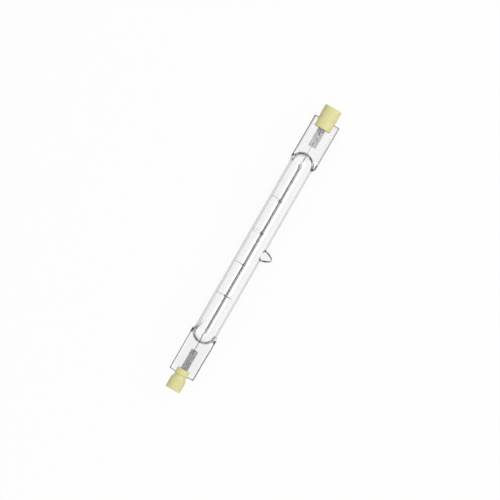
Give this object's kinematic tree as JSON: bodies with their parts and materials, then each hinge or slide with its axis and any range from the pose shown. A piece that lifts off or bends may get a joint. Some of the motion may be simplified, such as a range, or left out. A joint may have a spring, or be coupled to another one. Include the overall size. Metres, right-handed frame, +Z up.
{
  "type": "linear halogen lamp",
  "caption": "Double-ended linear halogen lamp: a slim quartz tube pinched flat at both ends, with a straight coiled filament, ring supports, foil seals and recessed-contact ceramic caps.",
  "frame": {"origin": "on the surface the lamp lies on, under the middle of its bounding box", "axes": "+X along the lamp towards the end with the larger cap, +Z up with the lamp lying on its tube and on the end of its exhaust tip, which points towards -Y and down"},
  "size_m": [0.142, 0.0137, 0.0109],
  "materials": {
    "quartz": "clear fused quartz, fire-polished",
    "tungsten": "matt grey drawn tungsten wire",
    "lead_wire": "grey molybdenum wire, faint violet tint on the outer leads",
    "foil": "satin molybdenum foil sealed in the glass",
    "ceramic": "unglazed cream-yellow steatite",
    "contact_metal": "satin nickel contact button",
    "cement": "off-white capping cement, matt"
  },
  "bodies": {
    "root": {"envelope": "quartz", "filament": "tungsten", "filament_support_1": "tungsten", "filament_support_2": "tungsten", "filament_support_3": "tungsten", "filament_support_4": "tungsten", "end_sleeve_left": "tungsten", "inner_lead_left": "lead_wire", "foil_left": "foil", "outer_lead_left": "lead_wire", "cap_left": "ceramic", "contact_left": "contact_metal", "cement_left": "cement", "end_sleeve_right": "tungsten", "inner_lead_right": "lead_wire", "foil_right": "foil", "outer_lead_right": "lead_wire", "cap_right": "ceramic", "contact_right": "contact_metal", "cement_right": "cement"}
  },
  "joints": []
}
